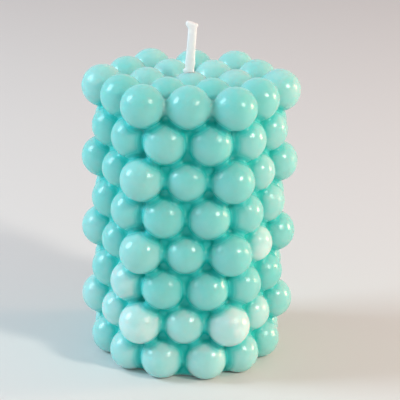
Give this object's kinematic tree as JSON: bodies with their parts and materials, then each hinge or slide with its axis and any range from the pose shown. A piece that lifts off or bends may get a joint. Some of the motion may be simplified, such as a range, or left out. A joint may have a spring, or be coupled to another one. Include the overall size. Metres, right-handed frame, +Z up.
{
  "type": "hexagonal bubble candle",
  "caption": "Pillar candle of fused wax balls in layers on a hexagonal plan, with a flat foot to stand on and a flat cotton wick at the top.",
  "frame": {"origin": "centre of the flat foot, on the surface that the candle stands on", "axes": "+Z up along the wick, -Y towards one face of the hexagonal plan, +X towards a corner and the way the wick leans"},
  "size_m": [0.0602, 0.0538, 0.0957],
  "materials": {
    "wax": "satin moulded wax, turquoise, slightly translucent",
    "wick": "flat braided cotton, waxed, white"
  },
  "bodies": {
    "root": {"wax_body": "wax", "wick": "wick"}
  },
  "joints": []
}
